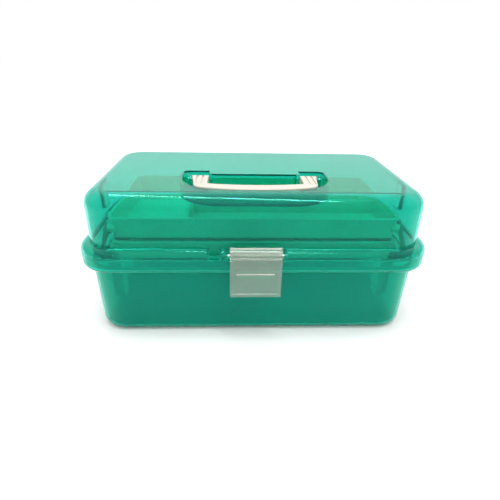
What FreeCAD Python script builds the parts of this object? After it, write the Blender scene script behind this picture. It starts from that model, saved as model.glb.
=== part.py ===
import FreeCAD, Part

# Art supply box: a tub with a domed lid hinged at the back, a bail handle sunk in the lid, a snap latch
# at the front and two trays that rise on parallel arms as the lid opens.
# Millimetres. +Z is up, the front faces -Y, the origin is the middle of the face that the box rests on.
# Everything is drawn closed.

import math
import os
import re

import Sketcher

doc = FreeCAD.newDocument("ArtSupplyBox")
sheet = doc.addObject("Spreadsheet::Sheet", "Sizes")

SIZES = {
    # overall
    "rim_width": 316.0,
    "rim_depth": 182.0,
    "box_height": 138.0,
    "seam_height": 83.0,
    "wall": 2.3,
    # tub
    "tub_foot_width": 298.5,
    "tub_foot_depth": 158.5,
    "tub_neck_width": 305.5,
    "tub_foot_round": 9.0,
    "tub_corner": 26.0,
    # belt round the seam
    "belt_corner": 31.0,
    "belt_drop": 14.0,
    "belt_rise": 8.0,
    "belt_round": 7.4,
    "belt_under_round": 5.6,
    "seam_gap": 0.35,
    # lid
    "lid_width": 300.6,
    "lid_depth": 166.6,
    "lid_corner": 27.0,
    "lid_round": 14.5,
    # handle pocket
    "pocket_width": 136.0,
    "pocket_front": 64.5,
    "pocket_back": 16.5,
    "pocket_bay_back": 6.0,
    "pocket_bay_inner": 43.5,
    "pocket_bay_corner": 5.0,
    "pocket_depth": 12.0,
    "pocket_corner": 36.0,
        # handle
    "handle_width": 119.0,
    "handle_arm_width": 15.5,
    "handle_front": 59.5,
    "handle_bow": 6.5,
    "handle_front_half": 49.0,
    "handle_corner_run": 7.7,
    "handle_corner_rise": 9.0,
    "handle_corner": 10.52,
    "grip_corner_run": 2.54,
    "grip_corner_rise": 3.0,
    "grip_corner": 3.04,
    "grip_bow": 3.44,
    "handle_grip": 13.5,
    "handle_thick": 7.4,
    "handle_sink": 1.0,
    "handle_axis_y": -19.0,
    "handle_pin": 1.5,
    "handle_lug": 4.0,
    "handle_lug_round": 4.0,
    "handle_edge": 1.2,
    "side_gap": 0.5,
    "groove_width": 2.0,
    "groove_depth": 1.0,
    # latch
    "latch_width": 45.0,
    "latch_middle": -0.9,
    "latch_bay": 49.0,
    "latch_axis_y": -88.0,
    "latch_axis_z": 86.9,
    "latch_roll": 7.4,
    "latch_thick": 2.2,
    "latch_foot": 48.5,
    "latch_barrel": 2.6,
    "latch_pin": 1.1,
    "latch_bead": 1.7,
    "latch_bead_z": 67.0,
    "latch_web": 1.2,
    "latch_edge": 0.7,
    # lid hinge
    "hinge_y": 95.5,
    "hinge_radius": 4.0,
    "hinge_pin": 1.6,
    "hinge_centre": 96.0,
    "knuckle": 12.0,
    "knuckle_gap": 0.4,
    # trays
    "tray_width": 266.0,
    "tray_depth": 126.0,
    "tray_middle": 5.0,
    "tray_draft": 1.8,
    "tray_height": 21.7,
    "tray_wall": 1.9,
    "tray_corner": 7.5,
    "tray_foot_round": 4.0,
    "tray_lip": 1.2,
    "tray_lip_height": 1.6,
    "lower_tray_foot": 64.2,
    "upper_tray_foot": 87.4,
    "divider": 1.8,
    "cross_divider_x": -63.0,
    "divider_drop": 3.0,
    # arms
    "arm_reach": 76.0,
    "arm_width": 7.5,
    "arm_thick": 2.5,
    "arm_inner": 137.7,
    "front_pivot_y": 22.0,
    "front_pivot_z": 68.0,
    "rear_pivot_y": 62.0,
    "rear_pivot_z": 78.2,
    "pivot_pin": 1.6,
    "pivot_head": 3.0,
    "pivot_head_thick": 1.3,
    "pivot_boss": 4.0,
    "front_post_end": 150.8,
    "rear_post_end": 147.6,
    "post_half": 5.0,
    "post_foot": 52.0,
    "post_hole": 5.0,
    "ear_inner": 134.7,
    "ear_thick": 2.3,
    "ear_half": 4.5,
    "running_fit": 0.06,
    # ribs on the side walls
    "pillar_inner": 136.5,
    "pillar_width": 18.0,
    "pillar_middle": -18.0,
    "rib_inner": 143.5,
    "rib_width": 12.0,
    "rib_foot": 105.0,
    # notch beside the latch
    "notch_middle": -37.0,
    "notch_width": 8.6,
    "notch_height": 12.0,
    # brackets that hang the upper tray's front end
    "knob_y": -55.0,
    "knob_z": 98.5,
    "knob_radius": 3.8,
    "knob_stub": 2.0,
    "lower_knob_z": 79.5,
    "bracket_half": 3.7,
    "bracket_elbow": 14.5,
    "bracket_bend": 17.5,
    "bracket_fork": 11.5,
    "bracket_plate": 1.9,
    "bracket_outer": 141.9,
}

for row, (alias, number) in enumerate(SIZES.items(), start=1):
    sheet.set("A%d" % row, alias)
    sheet.set("B%d" % row, str(number))
    sheet.setAlias("B%d" % row, alias)
doc.recompute()

# Level outlines as half width, half depth and corner radius.
TUB_FOOT = ("tub_foot_width / 2", "tub_foot_depth / 2", "tub_corner")
TUB_HOLLOW = ("tub_foot_width / 2 - wall", "tub_foot_depth / 2 - wall", "tub_corner - wall")
BELT_FACE = ("rim_width / 2", "rim_depth / 2", "belt_corner")
BELT_HOLLOW = ("rim_width / 2 - wall", "rim_depth / 2 - wall", "belt_corner - wall")
LID_FACE = ("lid_width / 2", "lid_depth / 2", "lid_corner")
LID_HOLLOW = ("lid_width / 2 - wall", "lid_depth / 2 - wall", "lid_corner - wall")

pieces = []


def sized(text):
    """The expression with every size name pointed at the sheet."""
    return re.sub("[a-z_]+", lambda word: "Sizes." + word[0] if word[0] in SIZES else word[0], text)


def value(text):
    """The number that an expression gives now."""
    return float(sheet.evalExpression(sized(text)))


# ---------------------------------------------------------------- helpers


def new_body(name):
    body = doc.addObject("PartDesign::Body", name)
    body.Label = name
    pieces.append(body)
    return body


def new_sketch(body, plane, offset):
    sketch = body.newObject("Sketcher::SketchObject", body.Name + "_outline")
    support = [part for part in body.Origin.OriginFeatures if part.Role == plane][0]
    sketch.AttachmentSupport = (support, [""])
    sketch.MapMode = "FlatFace"
    sketch.setExpression("AttachmentOffset.Base.z", sized(offset))
    return sketch


def arc_through(start, end, radius, turn):
    """Arc of less than half a circle, turning left (+1) or right (-1) from start to end."""
    chord = end - start
    left = FreeCAD.Vector(-chord.y, chord.x, 0).normalize() * turn
    rise = math.sqrt(max(radius**2 - (chord.Length / 2) ** 2, 0.0))
    centre = (start + end) / 2 + left * rise
    middle = centre - left * radius
    return Part.Arc(start, middle, end)


def outline(body, plane, offset, corners):
    """Closed outline. Each corner is (x, y), or (x, y, radius, turn) where an arc leaves it."""
    sketch = new_sketch(body, plane, offset)
    points = [FreeCAD.Vector(value(corner[0]), value(corner[1]), 0) for corner in corners]
    ends = []
    for index, corner in enumerate(corners):
        start = points[index]
        end = points[(index + 1) % len(points)]
        if len(corner) == 2:
            line = sketch.addGeometry(Part.LineSegment(start, end))
            ends.append((line, 1, 2))
        else:
            arc = sketch.addGeometry(arc_through(start, end, value(corner[2]), corner[3]))
            ends.append((arc, 1, 2) if corner[3] > 0 else (arc, 2, 1))
    for index, corner in enumerate(corners):
        curve, first, last = ends[index]
        before = ends[index - 1]
        sketch.addConstraint(Sketcher.Constraint("Coincident", before[0], before[2], curve, first))
        place = (("DistanceX", points[index].x), ("DistanceY", points[index].y))
        for (kind, along), text in zip(place, corner):
            number = sketch.addConstraint(Sketcher.Constraint(kind, -1, 1, curve, first, along))
            sketch.setExpression("Constraints[%d]" % number, sized(text))
        if len(corner) > 2:
            number = sketch.addConstraint(Sketcher.Constraint("Radius", curve, value(corner[2])))
            sketch.setExpression("Constraints[%d]" % number, sized(corner[2]))
    return sketch


def rounded_rectangle(body, offset, half_x, half_y, corner, middle_y="0"):
    """Level rounded rectangle at a height."""
    x_in = "(%s) - (%s)" % (half_x, corner)
    top = "(%s) + (%s)" % (middle_y, half_y)
    low = "(%s) - (%s)" % (middle_y, half_y)
    top_in = "(%s) - (%s)" % (top, corner)
    low_in = "(%s) + (%s)" % (low, corner)
    corners = [
        ("-1 * ( %s )" % x_in, low),
        (x_in, low, corner, 1),
        (half_x, low_in),
        (half_x, top_in, corner, 1),
        (x_in, top),
        ("-1 * ( %s )" % x_in, top, corner, 1),
        ("-1 * ( %s )" % half_x, top_in),
        ("-1 * ( %s )" % half_x, low_in, corner, 1),
    ]
    return outline(body, "XY_Plane", offset, corners)


def rectangle(body, plane, offset, x0, x1, y0, y1):
    return outline(body, plane, offset, [(x0, y0), (x1, y0), (x1, y1), (x0, y1)])


def circle(body, plane, offset, x, y, radius):
    sketch = new_sketch(body, plane, offset)
    centre = FreeCAD.Vector(value(x), value(y), 0)
    ring = sketch.addGeometry(Part.Circle(centre, FreeCAD.Vector(0, 0, 1), value(radius)))
    for kind, number, text in (("DistanceX", centre.x, x), ("DistanceY", centre.y, y)):
        index = sketch.addConstraint(Sketcher.Constraint(kind, -1, 1, ring, 3, number))
        sketch.setExpression("Constraints[%d]" % index, sized(text))
    index = sketch.addConstraint(Sketcher.Constraint("Radius", ring, value(radius)))
    sketch.setExpression("Constraints[%d]" % index, sized(radius))
    return sketch


def grow(body, kind, sketch, length, backwards=False):
    """Pad or Pocket; checks that the solid really changed."""
    before = body.Tip.Shape.Volume if body.Tip else 0.0
    feature = body.newObject("PartDesign::" + kind, body.Name + "_" + kind)
    feature.Profile = sketch
    feature.setExpression("Length", sized(length))
    feature.Reversed = backwards
    body.Tip = feature
    doc.recompute()
    change = feature.Shape.Volume - before
    if (kind == "Pad") != (change > 1e-3):
        raise RuntimeError("%s of %s changed the volume by %.3f" % (kind, body.Label, change))
    return feature


def pad(body, sketch, length, backwards=False):
    return grow(body, "Pad", sketch, length, backwards)


def pocket(body, sketch, length, backwards=False):
    return grow(body, "Pocket", sketch, length, backwards)


def middle_of(edge):
    return edge.valueAt((edge.FirstParameter + edge.LastParameter) / 2)


def mirrored(text, side):
    """A distance along x, on the wanted side of the middle."""
    return text if side > 0 else "-1 * ( %s )" % text


def draft(body, angle, height, wanted, backwards):
    """Leans the walls that rise from the wanted edges, about the level face at that height."""
    names = []
    for number, face in enumerate(body.Tip.Shape.Faces, start=1):
        level = face.BoundBox.ZLength < 0.01
        if level and abs(face.CenterOfMass.z - value(height)) < 0.01:
            neutral = "Face%d" % number
        if not level and any(wanted(edge, middle_of(edge)) for edge in face.Edges):
            names.append("Face%d" % number)
    base = body.Tip
    volume = base.Shape.Volume
    feature = body.newObject("PartDesign::Draft", body.Name + "_Draft")
    feature.Base = (base, names)
    feature.NeutralPlane = (base, [neutral])
    feature.setExpression("Angle", sized(angle))
    feature.Reversed = backwards
    body.Tip = feature
    doc.recompute()
    if "Invalid" in feature.State:
        raise RuntimeError("draft failed on " + body.Label)
    return feature.Shape.Volume - volume


def fillet(body, radius, wanted):
    """Rounds the edges of the body that the test wants."""
    names = []
    for number, edge in enumerate(body.Tip.Shape.Edges, start=1):
        if wanted(edge, middle_of(edge)):
            names.append("Edge%d" % number)
    if not names:
        raise RuntimeError("no edge to round on " + body.Label)
    base = body.Tip
    feature = body.newObject("PartDesign::Fillet", body.Name + "_Fillet")
    feature.Base = (base, names)
    feature.setExpression("Radius", sized(radius))
    body.Tip = feature
    doc.recompute()
    if "Invalid" in feature.State:
        raise RuntimeError("fillet %s failed on %s (%d edges)" % (radius, body.Label, len(names)))
    return feature


def level_edge(height, half_x, half_y, corner, middle_y="0"):
    """Test for edges that lie on a level rounded rectangle."""
    z = value(height)
    reach_x = value(half_x) - value(corner)
    reach_y = value(half_y) - value(corner)

    def wanted(edge, middle):
        if any(abs(point.z - z) > 0.01 for point in [middle] + [end.Point for end in edge.Vertexes]):
            return False
        over_x = max(abs(middle.x) - reach_x, 0.0)
        over_y = max(abs(middle.y - value(middle_y)) - reach_y, 0.0)
        return abs(math.hypot(over_x, over_y) - value(corner)) < 0.05

    return wanted


def both_sides(make):
    for side in (-1, 1):
        make(side)


# ---------------------------------------------------------------- tub


def tub_lean():
    """Angle by which the tub wall leans outward."""
    return "atan( ( tub_neck_width - tub_foot_width ) / 2 / seam_height )"


def make_tub():
    body = new_body("base_tub")
    belt_foot = "seam_height - belt_drop"
    belt_floor = belt_foot + " + wall"
    pad(body, rounded_rectangle(body, "0", *TUB_FOOT), "seam_height")
    draft(body, tub_lean(), "0", level_edge("0", *TUB_FOOT), True)
    pad(body, rounded_rectangle(body, belt_foot, *BELT_FACE), "belt_drop")
    pocket(body, rounded_rectangle(body, "wall", *TUB_HOLLOW), "seam_height", True)
    draft(body, tub_lean(), "wall", level_edge("wall", *TUB_HOLLOW), False)
    fillet(body, "tub_foot_round - wall", level_edge("wall", *TUB_HOLLOW))
    fillet(body, "tub_foot_round", level_edge("0", *TUB_FOOT))
    pocket(body, rounded_rectangle(body, belt_floor, *BELT_HOLLOW), "belt_drop", True)
    fillet(body, "belt_under_round - wall", level_edge(belt_floor, *BELT_HOLLOW))
    fillet(body, "belt_under_round", level_edge(belt_foot, *BELT_FACE))
    both_sides(lambda side: add_pillar(body, side))
    both_sides(lambda side: add_pivot_post(body, side, "front"))
    both_sides(lambda side: add_pivot_post(body, side, "rear"))
    both_sides(lambda side: add_knuckles(body, side, "tub"))
    return body


def add_pillar(body, side):
    """Rib on the side wall that the front arm and the lower tray come to rest on."""
    profile = [
        ("pillar_inner", "wall - 0.5"),
        ("tub_foot_width / 2 - 8", "wall - 0.8"),
        ("tub_foot_width / 2 - 2.9", "4.5"),
        ("tub_foot_width / 2 - 1", "10"),
        ("tub_neck_width / 2 - wall + 0.4", "front_pivot_z - arm_width / 2 - 0.6"),
        ("pillar_inner", "front_pivot_z - arm_width / 2 - 0.6"),
    ]
    if side < 0:
        profile = [("-1 * ( %s )" % x, z) for x, z in reversed(profile)]
    sketch = outline(body, "XZ_Plane", "-1 * ( pillar_middle + pillar_width / 2 )", profile)
    pad(body, sketch, "pillar_width")


def add_pivot_post(body, side, end):
    """Post on the side wall that carries the base pivot of one arm."""
    y = "%s_pivot_y" % end
    z = "%s_pivot_z" % end
    face = "arm_inner + arm_thick + side_gap"
    profile = [
        (y + " - post_half", "post_foot"),
        (y + " + post_half", "post_foot"),
        (y + " + post_half", z, "post_half", 1),
        (y, z + " + post_half", "post_half", 1),
        (y + " - post_half", z),
    ]
    post = outline(body, "YZ_Plane", mirrored(face, side), profile)
    pad(body, post, "%s_post_end - ( %s )" % (end, face), side < 0)
    pocket(body, circle(body, "YZ_Plane", mirrored(face, side), y, z, "pivot_pin"), "post_hole", side > 0)


# ---------------------------------------------------------------- lid hinge


def knuckle_spans(owner):
    """Middles of the knuckles on one hinge pin: the outer two are on the tub, the middle one on the lid."""
    pitch = "knuckle + knuckle_gap"
    steps = ("-1", "1") if owner == "tub" else ("0",)
    return ["hinge_centre + %s * ( %s )" % (step, pitch) for step in steps]


def add_knuckles(body, side, owner):
    z = "seam_height"
    up = "-1" if owner == "tub" else "1"
    shelf = "seam_height + %s * seam_gap" % up
    web = [
        ("rim_depth / 2 - 1.5", shelf),
        ("hinge_y", shelf),
        ("hinge_y", "seam_height + %s * hinge_radius" % up),
        ("rim_depth / 2 - 1.5", "seam_height + %s * hinge_radius" % up),
    ]
    if owner == "tub":
        web.reverse()
    fit = "hinge_pin" if owner == "tub" else "hinge_pin + running_fit"
    for middle in knuckle_spans(owner):
        start = "%s - knuckle / 2" % middle if side > 0 else "-1 * ( %s + knuckle / 2 )" % middle
        pad(body, outline(body, "YZ_Plane", start, web), "knuckle")
        pad(body, circle(body, "YZ_Plane", start, "hinge_y", z, "hinge_radius"), "knuckle")
        pocket(body, circle(body, "YZ_Plane", start, "hinge_y", z, fit), "knuckle", True)


def rod(name, x, y, z, length, radius, axis=FreeCAD.Vector(0, 1, 0)):
    """Plain round pin along x, starting at x."""
    pin = doc.addObject("Part::Cylinder", name)
    pin.setExpression("Radius", sized(radius))
    pin.setExpression("Height", sized(length))
    pin.Placement = FreeCAD.Placement(FreeCAD.Vector(0, 0, 0), FreeCAD.Rotation(axis, 90))
    pin.setExpression("Placement.Base.x", sized(x))
    pin.setExpression("Placement.Base.y", sized(y))
    pin.setExpression("Placement.Base.z", sized(z))
    return pin


def make_hinge_pin(side):
    name = "hinge_pin_" + ("right" if side > 0 else "left")
    reach = "1.5 * knuckle + knuckle_gap"
    start = "hinge_centre - ( %s )" % reach if side > 0 else "-1 * ( hinge_centre + %s )" % reach
    pin = rod(name, start, "hinge_y", "seam_height", "2 * ( %s )" % reach, "hinge_pin")
    pin.Label = name
    pieces.append(pin)


# ---------------------------------------------------------------- lid


def make_lid():
    body = new_body("lid_shell")
    seam = "seam_height + seam_gap"
    dome = "box_height - seam_height - seam_gap"
    belt_top = seam + " + belt_rise"
    pad(body, rounded_rectangle(body, seam, *LID_FACE), dome)
    pad(body, rounded_rectangle(body, seam, *BELT_FACE), "belt_rise")
    pocket(body, rounded_rectangle(body, seam, *LID_HOLLOW), dome + " - wall", True)
    fillet(body, "lid_round - wall", level_edge("box_height - wall", *LID_HOLLOW))
    fillet(body, "lid_round", level_edge("box_height", *LID_FACE))
    pocket(body, rounded_rectangle(body, seam, *BELT_HOLLOW), "belt_rise - wall", True)
    fillet(body, "belt_round - wall", level_edge(belt_top + " - wall", *BELT_HOLLOW))
    fillet(body, "belt_round", level_edge(belt_top, *BELT_FACE))
    add_handle_pocket(body)
    add_latch_bay(body)
    add_notch(body)
    both_sides(lambda side: add_lid_rib(body, side))
    both_sides(lambda side: add_knuckles(body, side, "lid"))
    return body


def pocket_outline(body, height, grown):
    """The handle pocket: a trough with round front corners and a bay at the back for each arm end."""
    wide = "pocket_width / 2 + %s" % grown
    front = "-1 * ( pocket_front + %s )" % grown
    bay = "-1 * pocket_bay_back + %s" % grown
    step = "-1 * pocket_back + %s" % grown
    inner = "pocket_bay_inner - %s" % grown
    turn = "pocket_corner + %s" % grown
    small = "pocket_bay_corner + %s" % grown
    front_in = "%s + %s" % (front, turn)
    corners = [
        ("-1 * ( %s - ( %s ) )" % (wide, turn), front),
        ("%s - ( %s )" % (wide, turn), front, turn, 1),
        (wide, front_in),
        (wide, "%s - ( %s )" % (bay, small), small, 1),
        ("%s - ( %s )" % (wide, small), bay),
        (inner, bay),
        (inner, step),
        ("-1 * ( %s )" % inner, step),
        ("-1 * ( %s )" % inner, bay),
        ("-1 * ( %s - ( %s ) )" % (wide, small), bay, small, 1),
        ("-1 * ( %s )" % wide, "%s - ( %s )" % (bay, small)),
        ("-1 * ( %s )" % wide, front_in, turn, 1),
    ]
    return outline(body, "XY_Plane", height, corners)


def add_handle_pocket(body):
    floor = "box_height - pocket_depth"
    pad(body, pocket_outline(body, floor + " - wall", "wall"), "pocket_depth")
    pocket(body, pocket_outline(body, floor, "0"), "pocket_depth", True)
    both_sides(lambda side: add_handle_lug(body, side))


def handle_axis_z():
    return "box_height - handle_sink - handle_thick / 2"


def add_handle_lug(body, side):
    """Lug outside each arm end that carries its pin, standing on the pocket floor."""
    low = "handle_width / 2 + side_gap"
    start = low if side > 0 else "-1 * ( %s + handle_lug )" % low
    y = "handle_axis_y"
    z = handle_axis_z()
    foot = "box_height - pocket_depth - 0.5"
    lug = [
        (y + " - handle_lug_round", foot),
        (y + " + handle_lug_round", foot),
        (y + " + handle_lug_round", z, "handle_lug_round", 1),
        (y, z + " + handle_lug_round", "handle_lug_round", 1),
        (y + " - handle_lug_round", z),
    ]
    pad(body, outline(body, "YZ_Plane", start, lug), "handle_lug")
    pocket(body, circle(body, "YZ_Plane", start, y, z, "handle_pin"), "handle_lug", True)


def add_latch_bay(body):
    """The belt is cut away for the latch and closed behind it; the end walls carry the latch pin."""
    seam = "seam_height + seam_gap"
    left = "latch_middle - latch_bay / 2"
    right = "latch_middle + latch_bay / 2"
    inner = "-1 * ( lid_depth / 2 - wall )"
    block = rectangle(body, "XY_Plane", seam, left + " - wall", right + " + wall",
                      "-1 * ( rim_depth / 2 - wall )", inner)
    pad(body, block, "belt_rise - 0.6")
    bay = rectangle(body, "XY_Plane", seam, left, right, "-1 * ( rim_depth / 2 + 1 )", "-1 * lid_depth / 2")
    pocket(body, bay, "belt_rise + 1", True)
    hole = circle(body, "YZ_Plane", left + " - wall - 1", "latch_axis_y", "latch_axis_z", "latch_pin")
    pocket(body, hole, "latch_bay + 2 * wall + 2", True)


def add_notch(body):
    """Small finger notch in the belt beside the latch, with a wall behind it and a ledge across it."""
    seam = "seam_height + seam_gap"
    left = "notch_middle - notch_width / 2"
    right = "notch_middle + notch_width / 2"
    block = rectangle(body, "XY_Plane", seam, left + " - 2", right + " + 2",
                      "-1 * ( rim_depth / 2 - wall )", "-1 * ( lid_depth / 2 - wall )")
    pad(body, block, "belt_rise - 0.6")
    cut = rectangle(body, "XY_Plane", seam, left, right, "-1 * ( rim_depth / 2 + 1 )", "-1 * lid_depth / 2")
    pocket(body, cut, "notch_height", True)
    ledge = rectangle(body, "XY_Plane", seam + " + 1.4", left + " + 1.2", right + " - 1.2",
                      "-1 * ( lid_depth / 2 + 4 )", "-1 * ( lid_depth / 2 - 0.5 )")
    pad(body, ledge, "1.2")


def add_lid_rib(body, side):
    """Stiffening rib on the side wall that runs up into the round of the top edge."""
    profile = [
        ("rib_inner", "rib_foot"),
        ("lid_width / 2 - 1", "rib_foot"),
        ("lid_width / 2 - 1", "box_height - 14"),
        ("lid_width / 2 - 2.5", "box_height - 8.5"),
        ("rib_inner", "box_height - 4.2"),
    ]
    if side < 0:
        profile = [("-1 * ( %s )" % x, z) for x, z in reversed(profile)]
    sketch = outline(body, "XZ_Plane", "-1 * ( pillar_middle + rib_width / 2 )", profile)
    pad(body, sketch, "rib_width")


# ---------------------------------------------------------------- handle


def bow_radius(half, rise):
    """Radius of the arc that rises by rise over a chord of twice half."""
    return "( (%s) * (%s) + (%s) * (%s) ) / ( 2 * (%s) )" % (half, half, rise, rise, rise)


def make_handle():
    """U-shaped bail: two arms that narrow towards a grip bowed to the front."""
    body = new_body("handle")
    wide = "handle_width / 2"
    inner = "handle_width / 2 - handle_arm_width"
    back = "handle_axis_y"
    foot = "box_height - handle_sink - handle_thick"
    corner_y = "-1 * ( handle_front - handle_bow )"
    side_x = "handle_front_half + handle_corner_run"
    side_y = corner_y + " + handle_corner_rise"
    grip = corner_y + " + handle_grip - grip_bow"
    grip_half = "%s - grip_corner_run" % inner
    outer_bow = bow_radius("handle_front_half", "handle_bow")
    inner_bow = bow_radius(grip_half, "grip_bow")
    corners = [
        ("-1 * handle_front_half", corner_y, outer_bow, 1),
        ("handle_front_half", corner_y, "handle_corner", 1),
        (side_x, side_y),
        (wide, back),
        (inner, back),
        (inner, grip + " + grip_corner_rise", "grip_corner", -1),
        (grip_half, grip, inner_bow, -1),
        ("-1 * ( %s )" % grip_half, grip, "grip_corner", -1),
        ("-1 * ( %s )" % inner, grip + " + grip_corner_rise"),
        ("-1 * ( %s )" % inner, back),
        ("-1 * ( %s )" % wide, back),
        ("-1 * ( %s )" % side_x, side_y, "handle_corner", 1),
    ]
    pad(body, outline(body, "XY_Plane", foot, corners), "handle_thick")
    z = handle_axis_z()
    fillet(body, "handle_edge",
           lambda edge, middle: edge.BoundBox.ZLength < 0.01 and middle.y < value(back) - 1)
    for side in (-1, 1):
        start = inner if side > 0 else "-1 * handle_width / 2"
        pad(body, circle(body, "YZ_Plane", start, back, z, "handle_thick / 2"), "handle_arm_width")
        hole = circle(body, "YZ_Plane", start + " - 1", back, z, "handle_pin + running_fit")
        pocket(body, hole, "handle_arm_width + 2", True)
        for across in ("0.33", "0.67"):
            line = "( %s + handle_arm_width * %s )" % (inner, across)
            x0 = "%d * %s - groove_width / 2" % (side, line)
            x1 = "%d * %s + groove_width / 2" % (side, line)
            slot = rectangle(body, "XY_Plane", "box_height - handle_sink", x0, x1, grip + " - 1", back)
            pocket(body, slot, "groove_depth")
    return body


def make_handle_pin(side):
    name = "handle_pin_" + ("right" if side > 0 else "left")
    low = "handle_width / 2 - 10"
    length = "10 + side_gap + handle_lug - 0.2"
    start = low if side > 0 else "-1 * ( %s + %s )" % (low, length)
    pin = rod(name, start, "handle_axis_y", handle_axis_z(), length, "handle_pin")
    pin.Label = name
    pieces.append(pin)


# ---------------------------------------------------------------- latch


def make_latch():
    """A plate that hangs over the seam, rolled over the belt at its top, with its barrel inside the roll."""
    body = new_body("latch")
    start = "latch_middle - latch_width / 2"
    y = "latch_axis_y"
    z = "latch_axis_z"
    face = "%s - latch_roll" % y
    back = "%s - latch_roll + latch_thick" % y
    roll = "latch_roll"
    under = "latch_roll - latch_thick"
    plate = [
        (face, z),
        (face, "latch_foot + 2"),
        (face + " + 0.6", "latch_foot"),
        (back, "latch_foot"),
        (back, z, under, -1),
        (y, z + " + " + under),
        (y, z + " + latch_roll", roll, 1),
    ]
    pad(body, outline(body, "YZ_Plane", start, plate), "latch_width")
    web = rectangle(body, "YZ_Plane", start, back + " - 0.5", y, z + " - latch_web", z + " + latch_web")
    pad(body, web, "latch_width")
    pad(body, circle(body, "YZ_Plane", start, y, z, "latch_barrel"), "latch_width")
    pocket(body, circle(body, "YZ_Plane", start, y, z, "latch_pin + running_fit"), "latch_width", True)
    bead = [
        (back + " - 0.5", "latch_bead_z"),
        (back, "latch_bead_z"),
        (back + " + latch_bead", "latch_bead_z + 2"),
        (back + " + latch_bead", "latch_bead_z + 3"),
        (back, "latch_bead_z + 5"),
        (back + " - 0.5", "latch_bead_z + 5"),
    ]
    pad(body, outline(body, "YZ_Plane", start + " + 6", bead), "latch_width - 12")
    inset = rectangle(body, "XZ_Plane", "-1 * ( %s )" % face, start + " + 2", start + " + latch_width - 2",
                      "latch_foot + 3.5", z + " - 1")
    pocket(body, inset, "latch_edge")
    return body


def make_latch_pin():
    reach = "latch_bay / 2 + wall - 0.1"
    start = "latch_middle - ( %s )" % reach
    pin = rod("latch_pin_rod", start, "latch_axis_y", "latch_axis_z", "2 * ( %s )" % reach, "latch_pin")
    pin.Label = "latch_pin"
    pieces.append(pin)


# ---------------------------------------------------------------- trays


def tray_size(inset):
    """Half width, half depth and corner radius of a tray, drawn inset millimetres inside its lip's foot."""
    return ("tray_width / 2 - (%s)" % inset, "tray_depth / 2 - (%s)" % inset, "tray_corner - (%s)" % inset)


def tray_outline(body, height, inset):
    return rounded_rectangle(body, height, *tray_size(inset), "tray_middle")


def tray_edge(height, inset):
    return level_edge(height, *tray_size(inset), "tray_middle")


def make_tray_shell(name, foot):
    body = new_body(name)
    top = foot + " + tray_height"
    floor = foot + " + tray_wall"
    lean = "atan( tray_draft / tray_height )"
    outside = tray_edge(foot, "tray_draft")
    inside = tray_edge(floor, "tray_draft + tray_wall")
    pad(body, tray_outline(body, foot, "tray_draft"), "tray_height")
    draft(body, lean, foot, outside, True)
    pad(body, tray_outline(body, top + " - tray_lip_height", "-1 * tray_lip"), "tray_lip_height")
    pocket(body, tray_outline(body, floor, "tray_draft + tray_wall"), "tray_height", True)
    draft(body, lean, floor, inside, False)
    fillet(body, "tray_foot_round - tray_wall", inside)
    fillet(body, "tray_foot_round", outside)
    return body


def add_divider(body, foot, x0, x1, y0, y1):
    sheet_of = rectangle(body, "XY_Plane", foot + " + tray_wall - 0.5", x0, x1, y0, y1)
    pad(body, sheet_of, "tray_height - tray_wall + 0.5 - divider_drop")


def add_tray_boss(body, side, y, z):
    """Boss on the side of the lower tray that an arm turns against."""
    low = "tray_width / 2 - tray_draft - 0.6"
    face = "arm_inner - 0.3"
    boss = circle(body, "YZ_Plane", mirrored(low, side), y, z, "pivot_boss")
    pad(body, boss, "%s - ( %s )" % (face, low), side < 0)
    pocket(body, circle(body, "YZ_Plane", mirrored(face, side), y, z, "pivot_pin"), "3.5", side < 0)


def make_lower_tray():
    foot = "lower_tray_foot"
    body = make_tray_shell("lower_tray", foot)
    low = "tray_middle - tray_depth / 2 + tray_wall / 2 + 1"
    high = "tray_middle + tray_depth / 2 - tray_wall / 2 - 1"
    for side in (-1, 1):
        middle = "%d * tray_width / 6" % side
        add_divider(body, foot, middle + " - divider / 2", middle + " + divider / 2", low, high)
    for side in (-1, 1):
        for end in ("front", "rear"):
            add_tray_boss(body, side, "%s_pivot_y - arm_reach / 2" % end, "%s_pivot_z" % end)
        add_knob(body, side, "lower_knob_z", "ear_inner - 0.4", "knob_radius")
    return body


def add_knob(body, side, z, reach, radius):
    """Round knob on the side of a tray at its front corner."""
    root = "tray_width / 2 - 6"
    knob = circle(body, "YZ_Plane", mirrored(root, side), "knob_y", z, radius)
    pad(body, knob, "%s - ( %s )" % (reach, root), side < 0)


def add_ear(body, side, end):
    """Ear that hangs from the side of the upper tray, outside the lower tray, down to its arm."""
    y = "%s_pivot_y - arm_reach" % end
    z = "%s_pivot_z" % end
    top = "upper_tray_foot + 8"
    profile = [
        (y + " - ear_half", top),
        (y + " - ear_half", z, "ear_half", 1),
        (y, z + " - ear_half", "ear_half", 1),
        (y + " + ear_half", z),
        (y + " + ear_half", top),
    ]
    ear = outline(body, "YZ_Plane", mirrored("ear_inner", side), profile)
    pad(body, ear, "ear_thick", side < 0)
    root = "tray_width / 2 - tray_draft - 0.2"
    block = rectangle(body, "YZ_Plane", mirrored(root, side), y + " - ear_half", y + " + ear_half",
                      "upper_tray_foot + 3.4", top)
    pad(body, block, "ear_inner + ear_thick - ( %s )" % root, side < 0)
    hole = circle(body, "YZ_Plane", mirrored("ear_inner", side), y, z, "pivot_pin")
    pocket(body, hole, "ear_thick", side > 0)


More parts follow.
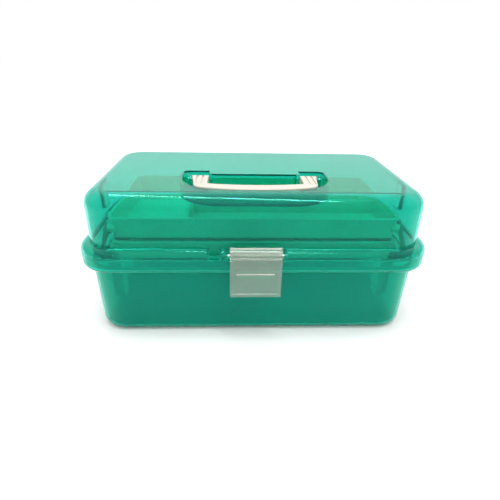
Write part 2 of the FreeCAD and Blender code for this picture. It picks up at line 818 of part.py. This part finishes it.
def make_upper_tray():
    foot = "upper_tray_foot"
    body = make_tray_shell("upper_tray", foot)
    low = "tray_middle - tray_depth / 2 + tray_wall / 2 + 1"
    high = "tray_middle + tray_depth / 2 - tray_wall / 2 - 1"
    right = "tray_width / 2 - tray_wall / 2 - 1"
    half = "divider / 2"
    add_divider(body, foot, "cross_divider_x - " + half, "cross_divider_x + " + half, low, high)
    add_divider(body, foot, "cross_divider_x", right, "tray_middle - " + half, "tray_middle + " + half)
    for side in (-1, 1):
        add_ear(body, side, "rear")
        add_knob(body, side, "knob_z", "ear_inner - 0.1", "knob_radius")
        add_knob(body, side, "knob_z", "ear_inner + bracket_plate + 0.4", "knob_stub")
    return body


def bracket_outline(body, start, tall):
    """Plate from the arm's end up to the elbow and, when tall, leaning back from there up to the knob."""
    y = "front_pivot_y - arm_reach"
    z = "front_pivot_z"
    front = "knob_y - bracket_elbow - bracket_half"
    back = "knob_y - bracket_elbow + bracket_half"
    leg = [
        (front, "knob_z - bracket_fork"),
        (front, "knob_z - bracket_bend"),
        (y + " - bracket_half", z + " - bracket_half"),
        (y + " + bracket_half", z + " - bracket_half"),
        (y + " + bracket_half", z + " + bracket_half"),
        (back, "knob_z - bracket_bend + 2.5"),
        (back, "knob_z - bracket_fork"),
    ]
    knob = [
        ("knob_y + bracket_half", "knob_z - bracket_half"),
        ("knob_y + bracket_half", "knob_z + bracket_half"),
        ("knob_y - bracket_half", "knob_z + bracket_half"),
    ]
    return outline(body, "YZ_Plane", start, leg + knob if tall else leg)


def make_bracket(side):
    """Elbow-shaped fork: hooked on the upper tray's front knob, it holds the end of the front arm."""
    body = new_body("tray_bracket_" + ("right" if side > 0 else "left"))
    start = mirrored("ear_inner", side)
    span = "bracket_outer + bracket_plate - ear_inner"
    front = "knob_y - bracket_elbow - bracket_half"
    pad(body, bracket_outline(body, start, True), "bracket_plate", side < 0)
    pad(body, bracket_outline(body, mirrored("bracket_outer", side), False), "bracket_plate", side < 0)
    bridge = rectangle(body, "YZ_Plane", start, front, front + " + bracket_plate",
                       "knob_z - bracket_bend", "knob_z - bracket_fork")
    pad(body, bridge, span, side < 0)
    arm_hole = circle(body, "YZ_Plane", start, "front_pivot_y - arm_reach", "front_pivot_z", "pivot_pin")
    pocket(body, arm_hole, span, side > 0)
    pocket(body, circle(body, "YZ_Plane", start, "knob_y", "knob_z", "knob_stub"), "bracket_plate", side > 0)
    return body


# ---------------------------------------------------------------- arms


def make_arm(side, end):
    """Flat bar with three pivots, lying level when the box is closed."""
    body = new_body("%s_arm_%s" % (end, "right" if side > 0 else "left"))
    y = "%s_pivot_y" % end
    z = "%s_pivot_z" % end
    face = "arm_inner" if side > 0 else "-1 * arm_inner"
    half = "arm_width / 2"
    bar = [
        (y + " - arm_reach", z + " - " + half),
        (y, z + " - " + half, half, 1),
        (y + " + " + half, z, half, 1),
        (y, z + " + " + half),
        (y + " - arm_reach", z + " + " + half, half, 1),
        (y + " - arm_reach - " + half, z, half, 1),
    ]
    pad(body, outline(body, "YZ_Plane", face, bar), "arm_thick", side < 0)
    for stage in ("0", "0.5", "1"):
        fit = "pivot_pin + running_fit"
        hole = circle(body, "YZ_Plane", face, y + " - arm_reach * " + stage, z, fit)
        pocket(body, hole, "arm_thick", side > 0)
    return body


def make_rivets(name, side, pivots, inward):
    """Headed pins for one side. The head is on the arm's inner face (inward), or outside at the given x."""
    rivets = []
    for number, (y, z, outside, shank) in enumerate(pivots):
        head_x = "arm_inner - 0.2 - pivot_head_thick" if inward else outside
        shank_x = head_x if inward else "%s - ( %s )" % (outside, shank)
        if side < 0:
            head_x = "-1 * ( %s + pivot_head_thick )" % head_x
            shank_x = "-1 * ( %s + %s )" % (shank_x, shank)
        head = rod("%s_head_%d" % (name, number), head_x, y, z, "pivot_head_thick", "pivot_head")
        shaft = rod("%s_shank_%d" % (name, number), shank_x, y, z, shank, "pivot_pin")
        rivet = doc.addObject("Part::Fuse", "%s_rivet_%d" % (name, number))
        rivet.Base = head
        rivet.Tool = shaft
        rivets.append(rivet)
    group = doc.addObject("Part::Compound", name + "_group")
    group.Links = rivets
    group.Label = name
    pieces.append(group)


def make_all_rivets():
    clear = "arm_inner + arm_thick + 0.2"
    fork = "bracket_outer + bracket_plate + 0.2"
    for side, word in ((-1, "left"), (1, "right")):
        base = []
        lower = []
        for end in ("front", "rear"):
            y = "%s_pivot_y" % end
            z = "%s_pivot_z" % end
            base.append((y, z, clear, "pivot_head_thick + 0.2 + arm_thick + side_gap + post_hole - 0.2"))
            lower.append((y + " - arm_reach / 2", z, clear, "0.2 + arm_thick + 0.3 + 3.3"))
        upper = [
            ("front_pivot_y - arm_reach", "front_pivot_z", fork, fork + " - ear_inner - 0.2"),
            ("rear_pivot_y - arm_reach", "rear_pivot_z", clear, "arm_thick + arm_inner - ear_inner"),
        ]
        make_rivets("base_pivot_pins_" + word, side, base, True)
        make_rivets("lower_tray_pivot_pins_" + word, side, lower, False)
        make_rivets("upper_tray_pivot_pins_" + word, side, upper, False)


# ---------------------------------------------------------------- build and write


def check_document():
    doc.recompute()
    for thing in doc.Objects:
        bad = {"Invalid", "Error"} & set(thing.State)
        if bad:
            raise RuntimeError("%s is %s" % (thing.Label, ", ".join(sorted(bad))))
    for piece in pieces:
        if piece.Shape.isNull() or not piece.Shape.isValid():
            raise RuntimeError("%s has no valid shape" % piece.Label)


def write_parts():
    os.makedirs("parts", exist_ok=True)
    for old in os.listdir("parts"):
        os.remove(os.path.join("parts", old))
    for piece in pieces:
        piece.Shape.exportStep(os.path.join("parts", piece.Label + ".step"))


make_tub()
make_lid()
both_sides(make_hinge_pin)
make_handle()
both_sides(make_handle_pin)
make_latch()
make_latch_pin()
make_lower_tray()
make_upper_tray()
both_sides(make_bracket)
for arm_side in (-1, 1):
    make_arm(arm_side, "front")
    make_arm(arm_side, "rear")
make_all_rivets()
check_document()
write_parts()
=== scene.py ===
import math

import bpy
from mathutils import Matrix, Vector

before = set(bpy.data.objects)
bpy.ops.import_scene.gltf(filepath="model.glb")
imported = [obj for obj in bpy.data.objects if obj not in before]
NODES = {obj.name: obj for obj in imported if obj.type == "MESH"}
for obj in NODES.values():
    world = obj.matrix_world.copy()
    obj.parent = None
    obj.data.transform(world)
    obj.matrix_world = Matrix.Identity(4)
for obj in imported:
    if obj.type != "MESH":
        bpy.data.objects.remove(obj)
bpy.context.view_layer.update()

# Where the camera stands, in millimetres and radians, and its focal length in image widths.
CAMERA_PLACE_MM = (-20.8, -388.0, 246.0)
CAMERA_YAW = 0.0486
CAMERA_PITCH = 0.473
CAMERA_ROLL = 0.023
FOCAL_WIDTHS = 0.788
SENSOR_MM = 36.0

# Brightness of the white sweep and of the ceiling above it.
SWEEP_LIGHT = 1.0
CEILING_LIGHT = 1.8

# A long thin softbox over the front edge, in metres and watts, for the highlight along the front of the lid.
SOFTBOX_PLACE = (-0.05, -0.15, 1.50)
SOFTBOX_TARGET = (0.0, -0.10, 0.12)
SOFTBOX_SIZE = (1.5, 0.07)
SOFTBOX_WATTS = 16.0

# How many features of each kind a surface has in a metre.
CLEAR_CLOUDS = 12.0
FROSTED_CLOUDS = 18.0
FLOOR_CLOUDS = 3.0
FLOW_MARKS = 35.0
HANDLING_HAZE = 160.0
MOULDED_GRAIN = 700.0
BRUSH_LINES = 300.0

# Light may pass this many surfaces, which is enough for every wall of the clear box.
LIGHT_BOUNCES = 32
SEE_THROUGH_BOUNCES = 16

# The floor is a wide square that lies just under the box.
FLOOR_WIDTH = 12.0
FLOOR_DROP = 0.0004

# The clear pieces bend light less than real plastic, with an index near 1.49, and their gleam is tinted.
# Both are choices for the look under this plain white light.
CLEAR_INDEX = 1.34
CLEAR_GLEAM = (0.20, 1.0, 0.90, 1.0)
FROSTED_INDEX = 1.49

# Two tints for each material, thin and thick, that slow clouds shift between. The dome and the tub are one
# plastic on the real box. Their tints differ here only so that each comes out near its colour in the picture.
# Both pairs hold the plastic's own teal, but the dome's are lighter and the tub's darker as painted light and
# painted shade: lit and shaded copies of one plastic.
DOME_TINTS = (0.08, 0.65, 0.54), (0.06, 0.60, 0.49)
TUB_TINTS = (0.01, 0.61, 0.45), (0.01, 0.56, 0.41)
ARM_TINTS = (0.01, 0.50, 0.38), (0.01, 0.42, 0.32)
TRAY_TINTS = (0.34, 0.94, 0.72), (0.30, 0.90, 0.67)
GRIP_TINTS = (0.46, 0.42, 0.36), (0.42, 0.38, 0.33)
CATCH_TINTS = (0.74, 0.80, 0.72), (0.70, 0.76, 0.68)
STEEL_TINTS = (0.50, 0.51, 0.52), (0.66, 0.67, 0.68)
FLOOR_TINTS = (0.73, 0.73, 0.73), (0.75, 0.75, 0.75)


# ---------------------------------------------------------------- node helpers


def new_material(name):
    """An empty material with one Principled shader on its surface."""
    material = bpy.data.materials.new(name)
    material.use_nodes = True
    tree = material.node_tree
    tree.nodes.clear()
    output = tree.nodes.new("ShaderNodeOutputMaterial")
    shader = tree.nodes.new("ShaderNodeBsdfPrincipled")
    tree.links.new(shader.outputs[0], output.inputs["Surface"])
    return material, tree, shader


def object_noise(tree, scale, detail=3.0, stretch=(1.0, 1.0, 1.0)):
    """Noise in object metres; scale is in features per metre."""
    place = tree.nodes.new("ShaderNodeTexCoord")
    mapping = tree.nodes.new("ShaderNodeMapping")
    mapping.inputs["Scale"].default_value = stretch
    noise = tree.nodes.new("ShaderNodeTexNoise")
    noise.inputs["Scale"].default_value = scale
    noise.inputs["Detail"].default_value = detail
    tree.links.new(place.outputs["Object"], mapping.inputs["Vector"])
    tree.links.new(mapping.outputs["Vector"], noise.inputs["Vector"])
    return noise.outputs["Fac"]


def ramp(tree, value, low, high, start=0.3, end=0.7):
    """A number that goes from low to high as value goes from start to end."""
    node = tree.nodes.new("ShaderNodeMapRange")
    node.inputs["From Min"].default_value = start
    node.inputs["From Max"].default_value = end
    node.inputs["To Min"].default_value = low
    node.inputs["To Max"].default_value = high
    tree.links.new(value, node.inputs["Value"])
    return node.outputs["Result"]


def colour_ramp(tree, value, low, high, start=0.3, end=0.7):
    """A colour that goes from low to high as value goes from start to end."""
    node = tree.nodes.new("ShaderNodeValToRGB")
    node.color_ramp.elements[0].position = start
    node.color_ramp.elements[0].color = (*low, 1.0)
    node.color_ramp.elements[1].position = end
    node.color_ramp.elements[1].color = (*high, 1.0)
    tree.links.new(value, node.inputs["Fac"])
    return node.outputs["Color"]


def bump(tree, shader, value, strength, distance):
    """Shading relief only; distance is in metres."""
    node = tree.nodes.new("ShaderNodeBump")
    node.inputs["Strength"].default_value = strength
    node.inputs["Distance"].default_value = distance
    tree.links.new(value, node.inputs["Height"])
    tree.links.new(node.outputs["Normal"], shader.inputs["Normal"])


# ---------------------------------------------------------------- materials


def clear_plastic(name, tints, rough, clear):
    """Tinted clear plastic with slow cloudy shifts of tint, faint flow marks and a fine handling haze."""
    material, tree, shader = new_material(name)
    clouds = object_noise(tree, CLEAR_CLOUDS)
    tree.links.new(colour_ramp(tree, clouds, tints[1], tints[0]), shader.inputs["Base Color"])
    haze = object_noise(tree, HANDLING_HAZE, detail=5.0)
    tree.links.new(ramp(tree, haze, rough[0], rough[1]), shader.inputs["Roughness"])
    shader.inputs["IOR"].default_value = CLEAR_INDEX
    shader.inputs["Transmission Weight"].default_value = clear
    shader.inputs["Specular Tint"].default_value = CLEAR_GLEAM
    flow = object_noise(tree, FLOW_MARKS, detail=2.0)
    bump(tree, shader, flow, strength=0.02, distance=0.0005)
    return material


def frosted_plastic(name, tints, rough, clear):
    """Cloudier plastic with a fine moulded grain."""
    material, tree, shader = new_material(name)
    clouds = object_noise(tree, FROSTED_CLOUDS)
    tree.links.new(colour_ramp(tree, clouds, tints[1], tints[0]), shader.inputs["Base Color"])
    grain = object_noise(tree, MOULDED_GRAIN, detail=4.0)
    tree.links.new(ramp(tree, grain, rough[0], rough[1]), shader.inputs["Roughness"])
    shader.inputs["IOR"].default_value = FROSTED_INDEX
    shader.inputs["Transmission Weight"].default_value = clear
    bump(tree, shader, grain, strength=0.05, distance=0.0001)
    return material


def pin_steel():
    """Drawn steel wire, brushed along its length."""
    material, tree, shader = new_material("pin_steel")
    brushed = object_noise(tree, BRUSH_LINES, detail=4.0, stretch=(0.1, 1.0, 1.0))
    tree.links.new(colour_ramp(tree, brushed, *STEEL_TINTS), shader.inputs["Base Color"])
    shader.inputs["Metallic"].default_value = 1.0
    tree.links.new(ramp(tree, brushed, 0.22, 0.40), shader.inputs["Roughness"])
    return material


def paint(node, material):
    """Puts one material in every slot of a piece."""
    piece = NODES[node]
    if not piece.data.materials:
        piece.data.materials.append(material)
    for index in range(len(piece.data.materials)):
        piece.data.materials[index] = material


def paint_everything():
    """Gives each piece the plastic or the steel it is made of."""
    # The dome and the tub are one plastic: the dome's lighter tints are painted light and the tub's darker
    # tints painted shade.
    dome = clear_plastic("teal_dome_plastic", DOME_TINTS, rough=(0.01, 0.03), clear=0.94)
    tub = clear_plastic("teal_clear_plastic", TUB_TINTS, rough=(0.01, 0.04), clear=0.82)
    arm = clear_plastic("teal_arm_plastic", ARM_TINTS, rough=(0.08, 0.16), clear=0.60)
    tray = frosted_plastic("green_tray_plastic", TRAY_TINTS, rough=(0.24, 0.34), clear=0.10)
    grip = frosted_plastic("cream_plastic", GRIP_TINTS, rough=(0.30, 0.42), clear=0.0)
    catch = frosted_plastic("milky_plastic", CATCH_TINTS, rough=(0.14, 0.20), clear=0.90)
    steel = pin_steel()
    for name in NODES:
        if name == "base_tub":
            paint(name, tub)
        elif name == "lid_shell":
            paint(name, dome)
        elif name in ("upper_tray", "lower_tray"):
            paint(name, tray)
        elif "pin" in name:
            paint(name, steel)
        elif name == "handle":
            paint(name, grip)
        elif name == "latch":
            paint(name, catch)
        else:
            paint(name, arm)


# ---------------------------------------------------------------- studio


def add_floor():
    """Matt pale grey floor, staged so that it isn't part of the box."""
    bpy.ops.mesh.primitive_plane_add(size=FLOOR_WIDTH, location=(0.0, 0.0, -FLOOR_DROP))
    floor = bpy.context.object
    floor.name = "studio_floor"
    material, tree, shader = new_material("studio_floor")
    clouds = object_noise(tree, FLOOR_CLOUDS)
    tree.links.new(colour_ramp(tree, clouds, *FLOOR_TINTS), shader.inputs["Base Color"])
    shader.inputs["Roughness"].default_value = 0.9
    shader.inputs["Specular IOR Level"].default_value = 0.1
    floor.data.materials.append(material)


def add_area_light(name, place, target, size, power):
    """A rectangular light at place that points at target."""
    data = bpy.data.lights.new(name, "AREA")
    data.shape = "RECTANGLE"
    data.size = size[0]
    data.size_y = size[1]
    data.energy = power
    light = bpy.data.objects.new(name, data)
    bpy.context.scene.collection.objects.link(light)
    light.location = place
    light.rotation_euler = (Vector(target) - Vector(place)).to_track_quat("-Z", "Y").to_euler()


def add_world():
    """White sweep all round, with a brighter soft ceiling."""
    world = bpy.data.worlds.new("studio")
    world.use_nodes = True
    bpy.context.scene.world = world
    tree = world.node_tree
    background = tree.nodes["Background"]
    background.inputs["Color"].default_value = (1.0, 1.0, 1.0, 1.0)
    place = tree.nodes.new("ShaderNodeTexCoord")
    parts = tree.nodes.new("ShaderNodeSeparateXYZ")
    tree.links.new(place.outputs["Generated"], parts.inputs["Vector"])
    strength = ramp(tree, parts.outputs["Z"], SWEEP_LIGHT, CEILING_LIGHT, 0.25, 0.8)
    tree.links.new(strength, background.inputs["Strength"])


def add_camera():
    """The camera looks along yaw and pitch, and then rolls about its own line of sight."""
    data = bpy.data.cameras.new("photo_camera")
    data.sensor_width = SENSOR_MM
    data.lens = FOCAL_WIDTHS * SENSOR_MM
    data.clip_start = 0.01
    camera = bpy.data.objects.new("photo_camera", data)
    bpy.context.scene.collection.objects.link(camera)
    forward = Vector(
        (
            math.sin(CAMERA_YAW) * math.cos(CAMERA_PITCH),
            math.cos(CAMERA_YAW) * math.cos(CAMERA_PITCH),
            -math.sin(CAMERA_PITCH),
        )
    )
    right = Vector((math.cos(CAMERA_YAW), -math.sin(CAMERA_YAW), 0.0))
    up = right.cross(forward)
    level_right = right * math.cos(CAMERA_ROLL) + up * math.sin(CAMERA_ROLL)
    level_up = up * math.cos(CAMERA_ROLL) - right * math.sin(CAMERA_ROLL)
    turn = Matrix((level_right, level_up, -forward)).transposed().to_4x4()
    camera.matrix_world = Matrix.Translation(Vector(CAMERA_PLACE_MM) / 1000.0) @ turn
    bpy.context.scene.camera = camera


def set_up_studio():
    """Floor, light and camera, with enough bounces for light to pass every wall of the clear box."""
    add_floor()
    add_world()
    add_area_light("softbox", SOFTBOX_PLACE, SOFTBOX_TARGET, SOFTBOX_SIZE, SOFTBOX_WATTS)
    add_camera()
    scene = bpy.context.scene
    scene.view_settings.view_transform = "Standard"
    scene.cycles.max_bounces = LIGHT_BOUNCES
    scene.cycles.transmission_bounces = LIGHT_BOUNCES
    scene.cycles.transparent_max_bounces = SEE_THROUGH_BOUNCES


paint_everything()
set_up_studio()
